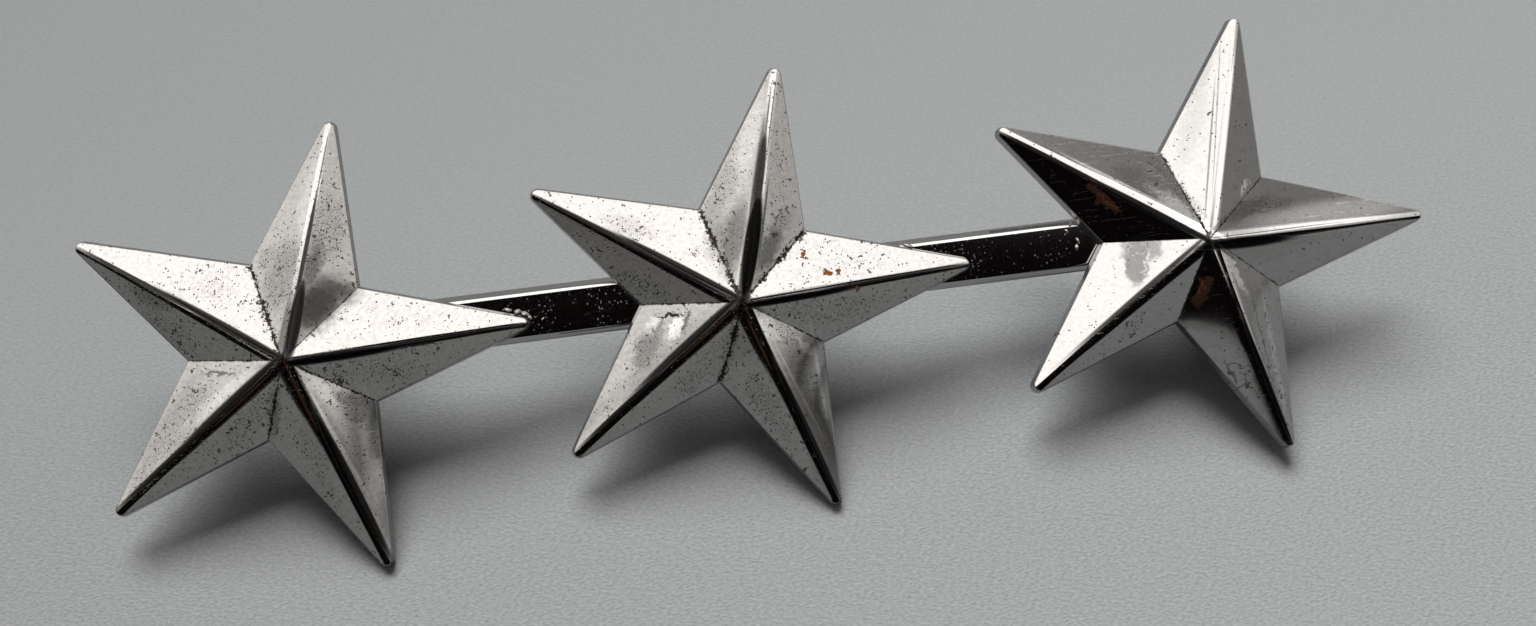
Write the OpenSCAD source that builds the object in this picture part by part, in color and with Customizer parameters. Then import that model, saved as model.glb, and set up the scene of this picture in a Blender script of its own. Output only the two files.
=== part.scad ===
// Rank insignia: three faceted five-pointed stars in a row on one narrow bar,
// with two plain posts behind it. All sizes are in millimetres.
// It is drawn lying on a table, on both post ends and on its lowest star tip.
// The bar runs along X, the faces look up and towards -Y, and the table is Z = 0.

/* [Stars] */
// Nominal radius of a star, from its centre to the rounded ends of its arms
star_radius = 12.7; // [10:0.1:14]
// Height of the apex above the rim, where the five ridges meet
apex_height = 2.6; // [1.5:0.1:4]
// Height of the side wall under the facets
rim_height = 0.65; // [0.4:0.05:1.5]
// How far the foot of the side wall stands out beyond its top edge
rim_draft = 0.1; // [0:0.02:0.2]
// Rounding of the arm ends, seen from the front
tip_round = 0.34; // [0.2:0.02:0.5]
// Half width of the rounded ridges where they meet at the apex
ridge_round = 0.5; // [0.15:0.05:0.6]
// How far the apex sits below the centre of the outline
apex_drop = 0.28; // [0:0.02:0.5]

/* [Row] */
// Distance from the left star's centre to the middle star's
left_spacing = 24.57; // [22:0.05:28]
// Distance from the middle star's centre to the right star's
right_spacing = 25.86; // [22:0.05:28]
// Backward lean of the right star, which was soldered on askew
right_lean = 4.6; // [0:0.1:6]

/* [Bar] */
// Width of the bar
bar_width = 3; // [2:0.02:4]
// Thickness of the bar
bar_thickness = 1; // [0.6:0.05:2]
// Width of the bevels along the bar's edges, seen from the front
bar_bevel = 0.35; // [0.1:0.05:0.45]
// How far the bar runs on beyond the centre of each outer star
bar_overrun = 3.2; // [1:0.1:4]
// How far the bar's middle line is from the stars' centres, towards their top arms
bar_offset = 0.47; // [0:0.01:1]

/* [Posts] */
// Length of a post behind the bar, with its foot and its point
post_length = 7; // [5:0.1:9]
// Radius of a post's shaft
post_radius = 0.55; // [0.4:0.05:0.8]
// Radius of the foot that holds a post on the bar
foot_radius = 1.3; // [0.9:0.05:1.4]

/* [Hidden] */

nominal_radius = 12.7;
seat_gap = 0.03;      // hairline between pieces that are joined on the real object
foot_height = 0.3;
point_length = 1;
point_radius = 0.15;
round_sides = 64;

// The struck shape isn't quite regular. One row per arm, anticlockwise from the arm
// that points along the bar: [tip reach, tip turn, notch reach, notch turn].
// A reach is in mm at the nominal radius, and a turn in degrees off the regular star.
TIP_REACH = 0;
TIP_TURN = 1;
NOTCH_REACH = 2;
NOTCH_TURN = 3;
ARMS = [
    [12.95, -0.1, 5.13,  0.5],
    [12.70,  0.6, 5.20, -1.8],
    [12.63,  1.2, 5.34, -3.3],
    [12.50,  0.0, 4.77, -2.4],
    [12.66, -0.5, 5.33, -0.3]
];

// Where each star sits on the bar: [along the bar, lean about the bar, turn in its plane]
SEAT_X = 0;
SEAT_LEAN = 1;
SEAT_TURN = 2;
SEATS = [
    [-left_spacing, 0, 0.2],
    [0, 0.5, 1],
    [right_spacing, -right_lean, -1]
];
LEFT = 0;
MIDDLE = 1;
RIGHT = 2;

// Outline of one star

arm_count = len(ARMS);
arm_step = 360 / arm_count;
size_factor = star_radius / nominal_radius;
apex = [0, -apex_drop];
ridge_round_tip = ridge_round * 0.4;

function heading(a) = [cos(a), sin(a)];
function before(k) = (k + arm_count - 1) % arm_count;
function after(k) = (k + 1) % arm_count;
function tip_angle(k) = k * arm_step + ARMS[k][TIP_TURN];

// Centre of the circle that rounds the end of an arm
function tip_centre(k) = heading(tip_angle(k)) * (ARMS[k][TIP_REACH] * size_factor - tip_round);

// Corner between arm k and the next one
function notch(k) =
    heading((k + 0.5) * arm_step + ARMS[k][NOTCH_TURN]) * ARMS[k][NOTCH_REACH] * size_factor;

// Outward normal of an arm's edge, which runs from its notch and touches the tip circle.
// side is 1 for the anticlockwise edge and -1 for the clockwise one.
function edge_notch(k, side) = side > 0 ? notch(k) : notch(before(k));
function edge_normal(k, side) =
    let (d = edge_notch(k, side) - tip_centre(k))
    heading(atan2(d.y, d.x) - side * acos(tip_round / norm(d)));

// Where the two edges that meet in a notch cross once both are moved out by grow
function grown_notch(k, grow) =
    let (a = edge_normal(k, 1), b = edge_normal(after(k), -1))
    notch(k) + (a + b) * grow / (1 + a * b);

// Angle of an edge's normal away from the arm's own direction
function normal_swing(k, side) =
    let (t = heading(tip_angle(k)), n = edge_normal(k, side))
    atan2(t.x * n.y - t.y * n.x, t * n);

// Steps round an arm's end, from its clockwise edge to its anticlockwise one.
// The middle five are the ends of the lines that run along the rounded ridge.
TIP_STEPS = [-1, -2/3, -1/3, -1/6, 0, 1/6, 1/3, 2/3, 1];
RIDGE_LINES = 5;
ridge_first = 2;
tip_steps = len(TIP_STEPS);

function tip_point(k, step, grow) =
    let (low = normal_swing(k, -1), high = normal_swing(k, 1))
    tip_centre(k) + heading(tip_angle(k) + (low + high) / 2 + step * (high - low) / 2)
                    * (tip_round + grow);

// Facets

// Height of the flat facet on one side of arm k's ridge, above the rim
function facet_height(p, k, side) =
    let (n = edge_normal(k, side), c = tip_centre(k))
    apex_height * (tip_round - (p - c) * n) / (tip_round - (apex - c) * n);

// Height of the star's face on arm k, with the ridge between the two facets rounded
facet_slope = apex_height / (star_radius * sin(arm_step / 4));
function face_height(p, k) =
    let (a = facet_height(p, k, 1), b = facet_height(p, k, -1),
         half = ridge_round_tip
                + (ridge_round - ridge_round_tip) * max(0, min(a, b)) / apex_height,
         blend = 2 * facet_slope * half, apart = abs(a - b))
    min(a, b) - (apart < blend ? (blend - apart) * (blend - apart) / (4 * blend) : 0);

// Point of the valley where the rounded ridges on both sides of it part
function valley_head(k) =
    let (v = notch(k) - apex)
    apex + v / norm(v) * ridge_round / sin(arm_step / 2);

function ridge_start(k, j) =
    let (t = j / (RIDGE_LINES - 1))
    valley_head(before(k)) * (1 - t) + valley_head(k) * t;

apex_top = apex_height - 0.7 * facet_slope * ridge_round;

// Points of the whole star: the apex, the heads of the ridge lines, then the rim's top
// ring and its foot ring. Each ring has an arm's end and then the notch after it.
ridge_starts = [for (k = [0 : arm_count - 1], j = [0 : RIDGE_LINES - 2])
    let (p = ridge_start(k, j)) [p.x, p.y, face_height(p, k)]];
rim_top = [for (k = [0 : arm_count - 1], i = [0 : tip_steps])
    let (at_tip = i < tip_steps, p = at_tip ? tip_point(k, TIP_STEPS[i], 0) : notch(k))
    [p.x, p.y, at_tip ? max(0, face_height(p, k)) : 0]];
rim_foot = [for (k = [0 : arm_count - 1], i = [0 : tip_steps])
    let (p = i < tip_steps ? tip_point(k, TIP_STEPS[i], rim_draft) : grown_notch(k, rim_draft))
    [p.x, p.y, -rim_height]];
star_points = concat([[apex.x, apex.y, apex_top]], ridge_starts, rim_top, rim_foot);

arm_points = tip_steps + 1;
ring_points = arm_count * arm_points;
first_top = 1 + arm_count * (RIDGE_LINES - 1);
first_foot = first_top + ring_points;

function start_at(k, j) = 1 + (k * (RIDGE_LINES - 1) + j) % (arm_count * (RIDGE_LINES - 1));
function top_at(k, i) = first_top + (k * arm_points + i + ring_points) % ring_points;
function foot_at(k, i) = top_at(k, i) + ring_points;

// Triangles, anticlockwise as seen from outside
cap_faces = [for (k = [0 : arm_count - 1], j = [0 : RIDGE_LINES - 2])
    [0, start_at(k, j), start_at(k, j + 1)]];
ridge_faces = [for (k = [0 : arm_count - 1], j = [0 : RIDGE_LINES - 2], half = [0, 1])
    half == 0
        ? [start_at(k, j), top_at(k, ridge_first + j), top_at(k, ridge_first + j + 1)]
        : [start_at(k, j), top_at(k, ridge_first + j + 1), start_at(k, j + 1)]];
clockwise_faces = [for (k = [0 : arm_count - 1], i = [-1 : ridge_first - 1])
    [start_at(k, 0), top_at(k, i), top_at(k, i + 1)]];
anticlockwise_faces = [for (k = [0 : arm_count - 1],
                            i = [ridge_first + RIDGE_LINES - 1 : tip_steps - 1])
    [start_at(k, RIDGE_LINES - 1), top_at(k, i), top_at(k, i + 1)]];
wall_faces = [for (k = [0 : arm_count - 1], i = [0 : tip_steps], half = [0, 1])
    half == 0 ? [top_at(k, i), foot_at(k, i), foot_at(k, i + 1)]
              : [top_at(k, i), foot_at(k, i + 1), top_at(k, i + 1)]];
// The flat back is one pentagon between the notches and one convex face under each arm
back_faces = concat(
    [[for (k = [arm_count - 1 : -1 : 0]) foot_at(k, tip_steps)]],
    [for (k = [0 : arm_count - 1]) [for (i = [tip_steps : -1 : -1]) foot_at(k, i)]]);

function turned_over(f) = [for (i = [len(f) - 1 : -1 : 0]) f[i]];
star_faces = [for (f = concat(cap_faces, ridge_faces, clockwise_faces,
                              anticlockwise_faces, wall_faces, back_faces)) turned_over(f)];

// Where the stars sit: the bar's front face is the plane Z = 0 of the insignia

function seat_height(s) =
    seat_gap + rim_height * cos(SEATS[s][SEAT_LEAN])
    + (bar_width / 2 - bar_bevel) * abs(sin(SEATS[s][SEAT_LEAN]))
    - bar_offset * sin(SEATS[s][SEAT_LEAN]);
function seated(p, s) =
    let (t = SEATS[s][SEAT_TURN], l = SEATS[s][SEAT_LEAN],
         y = p.y * cos(l) - p.z * sin(l), z = p.y * sin(l) + p.z * cos(l))
    [p.x * cos(t) - y * sin(t) + SEATS[s][SEAT_X], p.x * sin(t) + y * cos(t),
     z + seat_height(s)];

// How the insignia lies: it tips about X until a star tip meets the table

post_end = -(bar_thickness + seat_gap + post_length);
post_low = bar_offset - point_radius;
seated_points = [for (s = [LEFT, MIDDLE, RIGHT], p = star_points) seated(p, s)];
rest_tilt = min([for (p = seated_points) if (p.y < -star_radius / 2)
    atan2(p.z - post_end, post_low - p.y)]);
post_contact = post_low * sin(rest_tilt) + post_end * cos(rest_tilt);

function tilted_y(p) = p.y * cos(rest_tilt) - p.z * sin(rest_tilt);
lying_x = [for (p = seated_points) p.x];
lying_y = [for (p = seated_points) tilted_y(p)];
rest_shift = [-(min(lying_x) + max(lying_x)) / 2, -(min(lying_y) + max(lying_y)) / 2,
              -post_contact];

module lying() translate(rest_shift) rotate([rest_tilt, 0, 0]) children();

// Pieces

module star(s)
    color("#c9ccd0") lying()
        translate([SEATS[s][SEAT_X], 0, seat_height(s)])
            rotate([SEATS[s][SEAT_LEAN], 0, SEATS[s][SEAT_TURN]])
                polyhedron(points = star_points, faces = star_faces, convexity = 6);

module star_left() star(LEFT);
module star_middle() star(MIDDLE);
module star_right() star(RIGHT);

bar_start = -left_spacing - bar_overrun;
bar_length = left_spacing + right_spacing + 2 * bar_overrun;

// The bar's section, with the same bevel on all four edges
module bar_section()
    polygon([for (turn = [[1, 1], [-1, 1], [-1, -1], [1, -1]], end = [0, 1])
        let (on_side = (turn.x * turn.y > 0) ? end == 0 : end == 1)
        [turn.x * (bar_width / 2 - (on_side ? 0 : bar_bevel)),
         turn.y * (bar_thickness / 2 - (on_side ? bar_bevel : 0))]]);

module bar()
    color("#8f9297") lying()
        translate([bar_start, bar_offset, -bar_thickness / 2])
            rotate([90, 0, 90]) linear_extrude(height = bar_length) bar_section();

// A post points away from the bar's back: foot, shaft and point are one solid
module post(x)
    color("#a5a8ab") lying()
        translate([x, bar_offset, -bar_thickness - seat_gap]) mirror([0, 0, 1]) {
            cylinder(h = foot_height, r = foot_radius, $fn = round_sides);
            cylinder(h = post_length - point_length, r = post_radius, $fn = round_sides);
            translate([0, 0, post_length - point_length])
                cylinder(h = point_length, r1 = post_radius, r2 = point_radius,
                         $fn = round_sides);
        }

module post_left() post(SEATS[LEFT][SEAT_X]);
module post_right() post(SEATS[RIGHT][SEAT_X]);

star_left();
star_middle();
star_right();
bar();
post_left();
post_right();
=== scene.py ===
# %% [markdown]
# # A row of three struck stars on a bar
#
# This lesson dresses a small piece of uniform metalwork: three faceted stars in a row on
# one slim bar, lying on a pale table. The solids come from the CAD model, at their real
# size and in their real places. Blender adds what a solid model leaves plain: the rolled
# edges, the soft ridges, the pitted plating and the light that the metal mirrors.

import math
from collections import namedtuple

import bmesh
import bpy
from mathutils import Matrix, Vector


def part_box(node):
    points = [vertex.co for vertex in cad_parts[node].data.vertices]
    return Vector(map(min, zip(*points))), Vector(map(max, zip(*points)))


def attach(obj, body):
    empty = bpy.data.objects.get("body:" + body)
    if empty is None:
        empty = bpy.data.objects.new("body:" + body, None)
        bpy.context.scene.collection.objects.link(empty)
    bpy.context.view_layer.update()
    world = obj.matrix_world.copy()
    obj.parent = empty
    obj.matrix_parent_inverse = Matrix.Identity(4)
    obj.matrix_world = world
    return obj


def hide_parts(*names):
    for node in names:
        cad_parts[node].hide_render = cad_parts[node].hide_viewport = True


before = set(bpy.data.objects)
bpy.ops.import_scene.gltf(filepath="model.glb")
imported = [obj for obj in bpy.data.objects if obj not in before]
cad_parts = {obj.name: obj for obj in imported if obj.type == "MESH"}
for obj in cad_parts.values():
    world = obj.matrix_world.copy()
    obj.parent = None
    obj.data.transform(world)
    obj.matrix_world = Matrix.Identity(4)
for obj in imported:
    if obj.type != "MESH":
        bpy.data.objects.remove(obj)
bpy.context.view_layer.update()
print("solids:", sorted(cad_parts))

# %% [markdown]
# Blender counts in metres here, but a maker thinks of a badge in millimetres. Every size
# below is in millimetres, and one factor turns a finished mesh into metres. That is easier
# to read than a page of thousandths. Materials that read a place in metres say so.

# %% Units
MM = 0.001


def in_mm(vector):
    return [round(c / MM, 2) for c in vector]


# %% [markdown]
# The row lies on its two hidden posts and on its lowest star tips, so its face leans back
# towards the viewer. One matrix does that for all pieces. It is the same move that the
# solids had, so a piece made flat at the bar's front face lands exactly on its solid.

# %% How the row lies on the table
LYING_TILT = 32.62272
LYING_PLACE = Vector((-1.89024, 0.27384, 6.59066))

lying = (
    Matrix.Scale(MM, 4)
    @ Matrix.Translation(LYING_PLACE)
    @ Matrix.Rotation(math.radians(LYING_TILT), 4, "X")
)
face_direction = (lying.to_3x3() @ Vector((0, 0, 1))).normalized()
print("the faces look towards", [round(c, 3) for c in face_direction])

# %% [markdown]
# All three stars come from one die, and the die isn't quite regular. Each row of this
# table is one arm: how far its tip and the notch after it are from the centre, and how
# many degrees each is turned from where a regular star has it.

# %% One star's table
ARMS = [
    {"name": "right", "tip": 12.95, "tip_turn": -0.1, "notch": 5.13, "notch_turn": 0.5},
    {"name": "top", "tip": 12.70, "tip_turn": 0.6, "notch": 5.20, "notch_turn": -1.8},
    {"name": "left", "tip": 12.63, "tip_turn": 1.2, "notch": 5.34, "notch_turn": -3.3},
    {"name": "lower_left", "tip": 12.50, "tip_turn": 0.0, "notch": 4.77, "notch_turn": -2.4},
    {"name": "lower_right", "tip": 12.66, "tip_turn": -0.5, "notch": 5.33, "notch_turn": -0.3},
]
ARM_STEP = 72
TIP_ROUND = 0.34
RIM_HEIGHT = 0.65
RIM_DRAFT = 0.09
APEX = Vector((0, -0.28))
APEX_HEIGHT = 2.6

# %% [markdown]
# A star's outline is straight edges that run from a notch and just touch the small circle
# at an arm's end. These helpers find that circle, the direction each edge faces, and the
# crossing of two edges once both are moved outwards. They are plain geometry, so they
# work for any star with any table.


# %% Where the outline runs
def heading(degrees):
    return Vector((math.cos(math.radians(degrees)), math.sin(math.radians(degrees))))


def tip_angle(arm):
    return ARM_STEP * arm + ARMS[arm]["tip_turn"]


def tip_centre(arm):
    return heading(tip_angle(arm)) * (ARMS[arm]["tip"] - TIP_ROUND)


def notch(arm):
    row = ARMS[arm]
    return heading(ARM_STEP * (arm + 0.5) + row["notch_turn"]) * row["notch"]


def edge_normal(arm, side):
    corner = notch(arm) if side > 0 else notch(arm - 1)
    reach = corner - tip_centre(arm)
    turn = math.degrees(math.atan2(reach.y, reach.x))
    return heading(turn - side * math.degrees(math.acos(TIP_ROUND / reach.length)))


def crossing(point, normal_a, normal_b, grow):
    return point + (normal_a + normal_b) * grow / (1 + normal_a.dot(normal_b))


def sharp_tip(arm, grow):
    return crossing(tip_centre(arm), edge_normal(arm, 1), edge_normal(arm, -1), TIP_ROUND + grow)


def grown_notch(arm, grow):
    after = (arm + 1) % len(ARMS)
    return crossing(notch(arm), edge_normal(arm, 1), edge_normal(after, -1), grow)


for arm, row in enumerate(ARMS):
    print(row["name"], "tip centre", [round(c, 2) for c in tip_centre(arm)])

# %% [markdown]
# The outline starts as a ten-sided disc, because a star with five arms has ten corners.
# Moving its corners to the tips and notches is quicker than typing a polygon, and the disc
# already has a face. A vertex bevel then rounds each tip. Bevel gives a slightly pointed
# curve on a corner this sharp, so the new points are set on the true circle afterwards.
# Bevel's defaults differ from the editor's, so one helper sets them for the whole lesson.

# %% Draw the outline of a star
DISC_RADIUS = 10
TIP_SEGMENTS = 8
TIP_CUT = 1.0
TIP_REACH = 2.2


def turn_of(point):
    return math.degrees(math.atan2(point.y, point.x)) % 360


def bevel(bm, geom, offset, segments, affect="EDGES"):
    bmesh.ops.bevel(
        bm,
        geom=geom,
        offset=offset,
        offset_type="OFFSET",
        affect=affect,
        segments=segments,
        profile=0.5,
        material=-1,
    )


def draw_outline(bm, grow):
    corner_count = 2 * len(ARMS)
    disc = bmesh.ops.create_circle(
        bm, cap_ends=True, segments=corner_count, radius=DISC_RADIUS
    )
    corners = sorted(disc["verts"], key=lambda v: turn_of(v.co))
    for arm in range(len(ARMS)):
        corners[2 * arm].co = sharp_tip(arm, grow).to_3d()
        corners[2 * arm + 1].co = grown_notch(arm, grow).to_3d()
    bevel(bm, corners[0::2], TIP_CUT, TIP_SEGMENTS, affect="VERTICES")
    return round_the_tips(bm, TIP_ROUND + grow)


def round_the_tips(bm, radius):
    for arm in range(len(ARMS)):
        centre, ahead = tip_centre(arm), heading(tip_angle(arm))
        near = [v for v in bm.verts if (v.co.to_2d() - centre).length < TIP_REACH]
        near.sort(key=lambda v: ahead.angle_signed(v.co.to_2d() - APEX, 0), reverse=True)
        low = ahead.angle_signed(edge_normal(arm, -1), 0)
        high = ahead.angle_signed(edge_normal(arm, 1), 0)
        for step, v in enumerate(near):
            share = step / TIP_SEGMENTS
            swing = -math.degrees(low + share * (high - low))
            v.co = (centre + heading(tip_angle(arm) + swing) * radius).to_3d()
    return list(bm.faces)[0]


trial = bmesh.new()
outline = draw_outline(trial, RIM_DRAFT)
print("outline:", len(outline.verts), "corners, area in mm2", round(outline.calc_area(), 1))
trial.free()

# %% [markdown]
# On the real star the die leaves soft ridges, broad at the apex and fine at the tips. The
# height of the face is the lower of the two flat facets that meet in a ridge, with the
# meeting rounded off over a short distance. Each arm has its own breadth of ridge.

# %% Height of the struck face
RIDGE_AT_APEX = {"right": 0.48, "top": 0.5, "left": 0.48, "lower_left": 0.52, "lower_right": 0.55}
RIDGE_AT_TIP = 0.42


def facet_height(point, arm, side):
    normal, centre = edge_normal(arm, side), tip_centre(arm)
    fall = TIP_ROUND - (point - centre).dot(normal)
    return APEX_HEIGHT * fall / (TIP_ROUND - (APEX - centre).dot(normal))


def facet_slope(arm):
    return APEX_HEIGHT / (TIP_ROUND - (APEX - tip_centre(arm)).dot(edge_normal(arm, 1)))


def ridge_breadth(arm, height):
    full = RIDGE_AT_APEX[ARMS[arm]["name"]]
    share = max(0.0, min(1.0, height / APEX_HEIGHT))
    return full * (RIDGE_AT_TIP + (1 - RIDGE_AT_TIP) * share)


def face_height(point, arm):
    a, b = facet_height(point, arm, 1), facet_height(point, arm, -1)
    blend = 2 * facet_slope(arm) * ridge_breadth(arm, min(a, b))
    short = max(0.0, blend - abs(a - b))
    return min(a, b) - short * short / (4 * blend)


print("facets lean by", round(math.degrees(math.atan(facet_slope(0))), 1), "degrees")

# %% [markdown]
# Now the star is built from the outside in. Insets make the rings of the side wall and of
# the rolled rim while everything is still flat, which keeps them evenly wide round every
# corner. Poke then gives the apex and the facets. A star could also be cut from a cone,
# but insets and a poke keep the edges exactly where a die has them.

# %% Build the rings and facets
RIM_ROLL = [0.02, 0.03]


def inset(bm, face, width):
    made = bmesh.ops.inset_region(
        bm, faces=[face], thickness=width, use_boundary=True, use_even_offset=True
    )
    inside = set(face.verts)
    outside = {v for strip in made["faces"] for v in strip.verts} - inside
    return [(v, inner) for v in outside for inner in inside if bm.edges.get((v, inner))]


def rings_and_facets(bm):
    face = draw_outline(bm, RIM_DRAFT)
    if face.normal.z < 0:
        face.normal_flip()
    rings = [inset(bm, face, width) for width in [RIM_DRAFT] + RIM_ROLL]
    poked = bmesh.ops.poke(bm, faces=[face])
    poked["verts"][0].co = APEX.to_3d()
    return rings, poked["verts"][0], poked["faces"]


trial = bmesh.new()
rings, apex_vertex, fan = rings_and_facets(trial)
apex_place = [round(c, 2) for c in apex_vertex.co.to_2d()]
print("rings:", [len(ring) for ring in rings], "and", len(fan), "faces round", apex_place)
trial.free()

# %% [markdown]
# A ridge needs a few narrow strips to look round. Bisect Plane cuts them: each cut runs
# from beside the apex to beside the tip, so the strips narrow along the arm, as the real
# ridge does. A plain bevel would keep one width all the way. Only the faces of one arm are
# given to each cut, so that the others stay whole.

# %% Cut the ridge strips
RIDGE_LINES = [-1.2, -1.0, -0.67, -0.33, 0.33, 0.67, 1.0, 1.2]
CUT_SNAP = 0.0005


def arm_of(point):
    for arm in range(len(ARMS)):
        before, after = turn_of(notch(arm - 1) - APEX), turn_of(notch(arm) - APEX)
        if (turn_of(point - APEX) - before) % 360 < (after - before) % 360:
            return arm
    return 0


def cut_arm(bm, faces, arm):
    along = (tip_centre(arm) - APEX).normalized()
    across = Vector((-along.y, along.x))
    full = RIDGE_AT_APEX[ARMS[arm]["name"]]
    for line in RIDGE_LINES:
        start = APEX + across * line * full
        end = tip_centre(arm) + across * line * full * RIDGE_AT_TIP
        run = (end - start).normalized()
        parts = set(faces)
        for face in faces:
            parts.update(face.edges)
            parts.update(face.verts)
        cut = bmesh.ops.bisect_plane(
            bm,
            geom=list(parts),
            dist=CUT_SNAP,
            plane_co=start.to_3d(),
            plane_no=Vector((-run.y, run.x, 0)),
        )
        faces = [g for g in cut["geom"] if isinstance(g, bmesh.types.BMFace)]
    return faces


print("cuts along each ridge:", len(RIDGE_LINES))

# %% [markdown]
# With every cut made, the flat drawing is raised into relief. Points on the face take the
# height of the struck face, and the rings take the heights of the rim and of the wall. The
# hole at the back is filled last and gets a small rolled edge of its own.

# %% Raise the star
RIM_STEPS = [-0.04, -0.01]
BACK_ROLL = 0.04


def raise_face(faces_of_arm):
    for arm, faces in faces_of_arm.items():
        for v in {v for face in faces for v in face.verts}:
            height = face_height(v.co.to_2d(), arm)
            v.co.z = height if v.co.z == 0 else min(v.co.z, height)


def raise_rings(rings):
    for ring, step in zip(reversed(rings[1:]), reversed(RIM_STEPS)):
        for outer, inner in ring:
            outer.co.z = inner.co.z + step
    for outer, inner in rings[0]:
        outer.co.z = -RIM_HEIGHT + BACK_ROLL


def close_back(bm):
    border = [e for e in bm.edges if e.is_boundary]
    back = bmesh.ops.holes_fill(bm, edges=border, sides=0)["faces"][0]
    back.normal_update()
    if back.normal.z > 0:
        back.normal_flip()
    inset(bm, back, BACK_ROLL)
    for v in back.verts:
        v.co.z = -RIM_HEIGHT


print("steps of the rim in mm:", RIM_STEPS, "and of the back:", BACK_ROLL)

# %% [markdown]
# The finish has to know where it is on the star: dirt sits in the valleys and wear on the
# ridges. So each corner of the mesh keeps three notes: its place on the flat star, its
# distances from the nearest valley and from the ridge, and how dirty that valley is.
# Shaders read such notes with an Attribute node. The stars' places are set apart from each
# other, and each back from its face, so that no two share a pattern. The dirt table counts
# the valleys round the star, from the one between right arm and top arm.

# %% Note each corner's place on the star
FAR = 9.0
STAR_APART = 40
BACK_APART = 10
VALLEY_DIRT = {
    "star_left": [0.2, 1.0, 0.25, 0.6, 0.35],
    "star_middle": [0.9, 1.0, 0.3, 0.9, 0.3],
    "star_right": [0.25, 0.5, 0.1, 0.3, 0.2],
}


def line_distance(point, start, end):
    run = (end - start).normalized()
    return abs((point - start).cross(run))


def arm_side(middle, arm):
    return 1 if (tip_centre(arm) - APEX).cross(middle - APEX) > 0 else -1


def corner_notes(point, side, arm):
    corner = notch(arm) if side > 0 else notch(arm - 1)
    valley = line_distance(point, APEX, corner)
    ridge = line_distance(point, APEX, tip_centre(arm))
    return Vector((valley, ridge, 0))


def write_notes(bm, faces_of_arm, number, dirt_table):
    flat = bm.loops.layers.float_vector.new("flat")
    near = bm.loops.layers.float_vector.new("near")
    dirt = bm.loops.layers.float.new("dirt")
    for face in bm.faces:
        at_back = max(v.co.z for v in face.verts) < BACK_ROLL / 2 - RIM_HEIGHT
        sheet = STAR_APART * number + BACK_APART * at_back
        for loop in face.loops:
            loop[flat] = Vector((loop.vert.co.x, loop.vert.co.y, sheet))
            loop[near] = Vector((FAR, FAR, 0))
    for arm, faces in faces_of_arm.items():
        for face in faces:
            side = arm_side(face.calc_center_median().to_2d(), arm)
            for loop in face.loops:
                loop[near] = corner_notes(loop.vert.co.to_2d(), side, arm)
                loop[dirt] = dirt_table[arm if side > 0 else arm - 1]


print("valleys with a note on dirt:", sum(len(table) for table in VALLEY_DIRT.values()))

# %% [markdown]
# Here the steps come together. Folds that go inwards, such as the valleys, stay sharp, and
# all else is shaded smooth. A Weighted Normal modifier lets the big flat facets decide how
# light falls along their borders, so they stay flat mirrors next to round ridges.

# %% Make the three stars
STARS = [
    {"node": "star_left", "along": -24.57, "seat": 0.68, "lean": 0.0, "turn": 0.2, "wear": 1.0},
    {"node": "star_middle", "along": 0.0, "seat": 0.68591, "lean": 0.5, "turn": 1.0, "wear": 0.9},
    {"node": "star_right", "along": 25.86, "seat": 0.80783, "lean": -4.6, "turn": -1.0, "wear": 0.35},
]


def star_place(star):
    return (
        lying
        @ Matrix.Translation((star["along"], 0, star["seat"]))
        @ Matrix.Rotation(math.radians(star["turn"]), 4, "Z")
        @ Matrix.Rotation(math.radians(star["lean"]), 4, "X")
    )


SHARP_FOLD = math.radians(12)
APEX_SINK = 0.1
FLAT_WEIGHT = 50


def mark_sharp(bm):
    bm.normal_update()
    for edge in bm.edges:
        edge.smooth = edge.calc_face_angle_signed(0) > -SHARP_FOLD


def strike_star(number):
    bm = bmesh.new()
    rings, apex_vertex, fan = rings_and_facets(bm)
    faces_of_arm = {arm: [] for arm in range(len(ARMS))}
    for face in fan:
        faces_of_arm[arm_of(face.calc_center_median().to_2d())].append(face)
    for arm in faces_of_arm:
        faces_of_arm[arm] = cut_arm(bm, faces_of_arm[arm], arm)
    raise_face(faces_of_arm)
    raise_rings(rings)
    apex_vertex.co.z -= APEX_SINK * facet_slope(0) * RIDGE_AT_APEX["right"]
    close_back(bm)
    write_notes(bm, faces_of_arm, number, VALLEY_DIRT[STARS[number]["node"]])
    mark_sharp(bm)
    return bm


def add_object(bm, name, place=Matrix.Identity(4)):
    bmesh.ops.transform(bm, matrix=place, verts=bm.verts)
    for face in bm.faces:
        face.smooth = True
    mesh = bpy.data.meshes.new(name)
    bm.to_mesh(mesh)
    bm.free()
    made = bpy.data.objects.new(name, mesh)
    bpy.context.scene.collection.objects.link(made)
    return made


def finish_piece(bm, name, place, node):
    piece = add_object(bm, name, place)
    flat_mirrors = piece.modifiers.new("flat_mirrors", "WEIGHTED_NORMAL")
    flat_mirrors.keep_sharp = True
    flat_mirrors.weight = FLAT_WEIGHT
    flat_mirrors.thresh = 0
    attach(piece, "root")
    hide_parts(node)
    return piece


star_pieces = {}
for number, star in enumerate(STARS):
    name = star["node"].replace("star", "plated_star")
    piece = finish_piece(strike_star(number), name, star_place(star), star["node"])
    star_pieces[star["node"]] = piece
    low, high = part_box(star["node"])
    print(name, "faces", len(piece.data.polygons), "solid's box", in_mm(low), in_mm(high))

# %% [markdown]
# The bar is drawn wire: a flat strip whose long edges are bevelled, and whose bevels are
# themselves a little round. It is one cube, stretched, with two bevels. The second bevel is
# tiny, but it makes the thin bright line along the bar, because a rounded edge mirrors a
# whole sweep of the room.

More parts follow.
